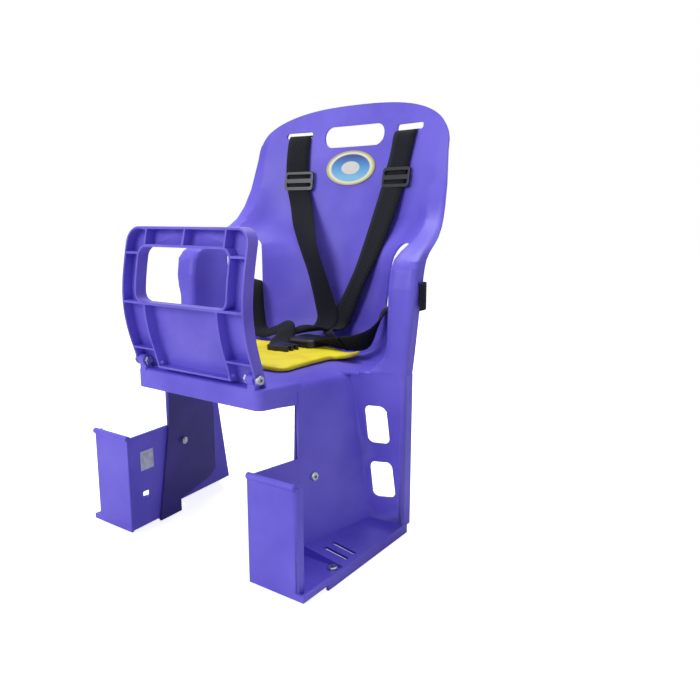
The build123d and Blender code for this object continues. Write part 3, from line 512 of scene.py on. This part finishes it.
# Stations: centre of the tape in millimetres, then the direction across it
tapePlan = dict(
    shoulderRight=[
        (-87, 152, 474, 1, 0.1, 0), (-86, 143, 471, 1, 0.15, 0), (-84.6, 135.5, 443, 0.98, 0.18, 0),
        (-81.6, 131.0, 412, 0.98, 0.17, 0), (-71, 125, 384, 0.98, 0.12, 0.2), (-58, 114, 360, 0.95, 0.1, 0.3),
        (-38.5, 101, 326, 0.82, -0.2, 0.45), (-26, 99, 298, 0.8, -0.25, 0.4), (-12, 101, 254, 0.9, -0.1, 0.25),
        (-4, 96, 234, 1, 0, 0.1), (-6, 82, 222, 1, 0.1, 0.1), (-16, 66, 222, 0.8, 0.5, 0.35),
        (-30, 56, 218, 0.4, 0.7, 0.55), (-44, 50, 212, 0.2, 0.8, 0.45),
    ],
    shoulderLeft=[
        (86, 149, 471, 1, -0.1, 0), (84, 140.5, 467, 1, -0.15, 0), (80.6, 136, 441, 0.98, -0.16, 0),
        (74.5, 132.5, 413.5, 0.98, -0.15, -0.1), (73, 127.5, 397, 0.97, -0.15, -0.15),
        (61, 109, 337, 0.92, -0.3, -0.3), (44, 102, 293, 0.72, -0.45, -0.4), (24, 101, 252, 0.8, -0.35, -0.4),
        (14, 96, 232, 0.95, -0.1, -0.2), (14, 82, 223, 0.95, -0.25, 0.15), (24, 66, 222, 0.7, -0.55, 0.45),
        (40, 55, 218, 0.3, -0.7, 0.6), (56, 50, 213, 0.1, -0.8, 0.55),
    ],
    waistLeft=[
        (187.3, 9, 283, 0, 0, 1), (189.5, 16, 284, 0, 0, 1), (183, 26, 284, 0, 0, 1), (167, 38, 283, 0, 0, 1),
        (152, 52, 279, 0.1, -0.1, 1), (138, 68, 273, 0.25, -0.25, 0.9), (126, 76, 268, 0.45, -0.45, 0.75),
        (115, 70, 265, 0.65, -0.65, 0.3), (108, 62, 257, 0.7, -0.65, 0.2), (102, 58, 240, 0.55, -0.5, 0.65),
        (93, 53, 225, 0.3, -0.5, 0.8), (75, 50, 217, 0.1, -0.65, 0.74), (46, 50, 214, 0, -0.8, 0.58),
        (24, 47, 213, 0, -0.95, 0.25),
    ],
    waistRight=[
        (-187.3, 9, 283, 0, 0, -1), (-189.5, 16, 284, 0, 0, -1), (-183, 26, 284, 0, 0, -1), (-167, 38, 284, 0, 0, -1),
        (-152, 52, 284, 0.1, 0.1, -1), (-138, 68, 284, 0.25, 0.25, -0.9), (-126, 77, 284, 0.5, 0.5, -0.7),
        (-113, 69, 283, 0.68, 0.68, -0.2), (-105, 62, 270, 0.7, 0.7, 0), (-100, 59, 240, 0.7, 0.7, 0),
        (-90, 54, 220, 0.5, 0.85, 0), (-70, 55, 217, 0.1, 0.9, 0.4), (-50, 56, 224, 0, 0.85, 0.5),
        (-36, 50, 224, 0.3, 0.85, 0.4), (-27, 34, 213, 0.75, 0.6, 0), (-18, 18, 210, 0.9, 0.4, 0),
        (-10, 8, 211, 0.95, 0.3, 0),
    ],
)
layTape("shoulderTapeRight", tapeMake["shoulder"], tapePlan["shoulderRight"], "shoulder_strap_right")
layTape("shoulderTapeLeft", tapeMake["shoulder"], tapePlan["shoulderLeft"], "shoulder_strap_left")
layTape("waistTapeLeft", tapeMake["waist"], tapePlan["waistLeft"], "waist_strap_left")
layTape("waistTapeRight", tapeMake["waist"], tapePlan["waistRight"], "waist_strap_right")
print("harness laid")

# Stage: pale floor, soft lamps, camera where the photograph was taken
stageLook = dict(floor="#F4F4F6", floorRough=0.9, floorGlow=0.84, floorHalf=6.0, floorDrop=0.0004,
                 sky="#FFFFFF", skyLight=0.2)
lampPlan = dict(
    key=dict(place=(-0.55, -2.0, 1.2), aim=(0.0, 0.0, 0.25), size=1.3, power=26.0),
    fill=dict(place=(1.9, -0.9, 0.9), aim=(0.0, 0.0, 0.25), size=1.6, power=5.5),
    top=dict(place=(-0.25, 0.35, 1.9), aim=(0.0, 0.0, 0.3), size=1.4, power=24.0),
)
cameraPlan = dict(place=(0.5615, -0.62305, 0.3653), pitch=10.67, turn=36.32, lens=36.2, sensor=36.0,
                  nearest=0.01)


def seenWhite(tree, lit):  # white to the eye and to gloss, plain colour to the light that falls on it
    path = addNode(tree, "ShaderNodeLightPath")
    seen = addNode(tree, "ShaderNodeMath", links={0: (path, "Is Camera Ray"), 1: (path, "Is Glossy Ray")},
                   operation="MAXIMUM")
    both = addNode(tree, "ShaderNodeMath", links={0: (seen, "Value"), 1: (path, "Is Transmission Ray")},
                   operation="MAXIMUM")
    white = addNode(tree, "ShaderNodeBackground", {"Color": linear(stageLook["sky"]), "Strength": 1.0})
    return addNode(tree, "ShaderNodeMixShader",
                   links={0: (both, "Value"), 1: (lit, "Background"), 2: (white, "Background")})


world = bpy.data.worlds.new("studio")
world.use_nodes = True
world.node_tree.nodes.clear()
skyGlow = addNode(world.node_tree, "ShaderNodeBackground",
                  {"Color": linear(stageLook["sky"]), "Strength": stageLook["skyLight"]})
skyMix = seenWhite(world.node_tree, skyGlow)
addNode(world.node_tree, "ShaderNodeOutputWorld", links={"Surface": (skyMix, "Shader")})
scene.world = world

for lampName, plan in lampPlan.items():
    lamp = bpy.data.lights.new(lampName, "AREA")
    lamp.shape = "DISK"
    lamp.size = plan["size"]
    lamp.energy = plan["power"]
    lampObject = bpy.data.objects.new(lampName, lamp)
    lampObject.location = plan["place"]
    aim = Vector(plan["aim"]) - Vector(plan["place"])
    lampObject.rotation_euler = aim.to_track_quat("-Z", "Y").to_euler()
    scene.collection.objects.link(lampObject)

floorMesh = bmesh.new()
bmesh.ops.create_grid(floorMesh, x_segments=1, y_segments=1, size=stageLook["floorHalf"])
floorData = bpy.data.meshes.new("studioFloor")
floorMesh.to_mesh(floorData)
floorMesh.free()
studioFloor = bpy.data.objects.new("studioFloor", floorData)
studioFloor.location.z = -stageLook["floorDrop"]
scene.collection.objects.link(studioFloor)
floorPaint, floorTree = newMaterial("studio floor paint")
floorShader = addNode(floorTree, "ShaderNodeBsdfPrincipled",
                      {"Base Color": linear(stageLook["floor"]), "Roughness": stageLook["floorRough"]})
floorPath = addNode(floorTree, "ShaderNodeLightPath")
floorSeen = addNode(floorTree, "ShaderNodeMath", {1: stageLook["floorGlow"]}, {0: (floorPath, "Is Camera Ray")},
                    operation="MULTIPLY")
floorGlow = addNode(floorTree, "ShaderNodeEmission", {"Color": linear(stageLook["sky"])},
                    {"Strength": (floorSeen, "Value")})
floorBoth = addNode(floorTree, "ShaderNodeAddShader",
                    links={0: (floorShader, "BSDF"), 1: (floorGlow, "Emission")})
addNode(floorTree, "ShaderNodeOutputMaterial", links={"Surface": (floorBoth, "Shader")})
floorData.materials.append(floorPaint)

camera = bpy.data.cameras.new("photoCamera")
camera.lens = cameraPlan["lens"]
camera.sensor_width = cameraPlan["sensor"]
camera.clip_start = cameraPlan["nearest"]
cameraObject = bpy.data.objects.new("photoCamera", camera)
cameraObject.location = cameraPlan["place"]
cameraObject.rotation_euler = (math.radians(90 - cameraPlan["pitch"]), 0.0, math.radians(cameraPlan["turn"]))
scene.collection.objects.link(cameraObject)
scene.camera = cameraObject
print("stage set")
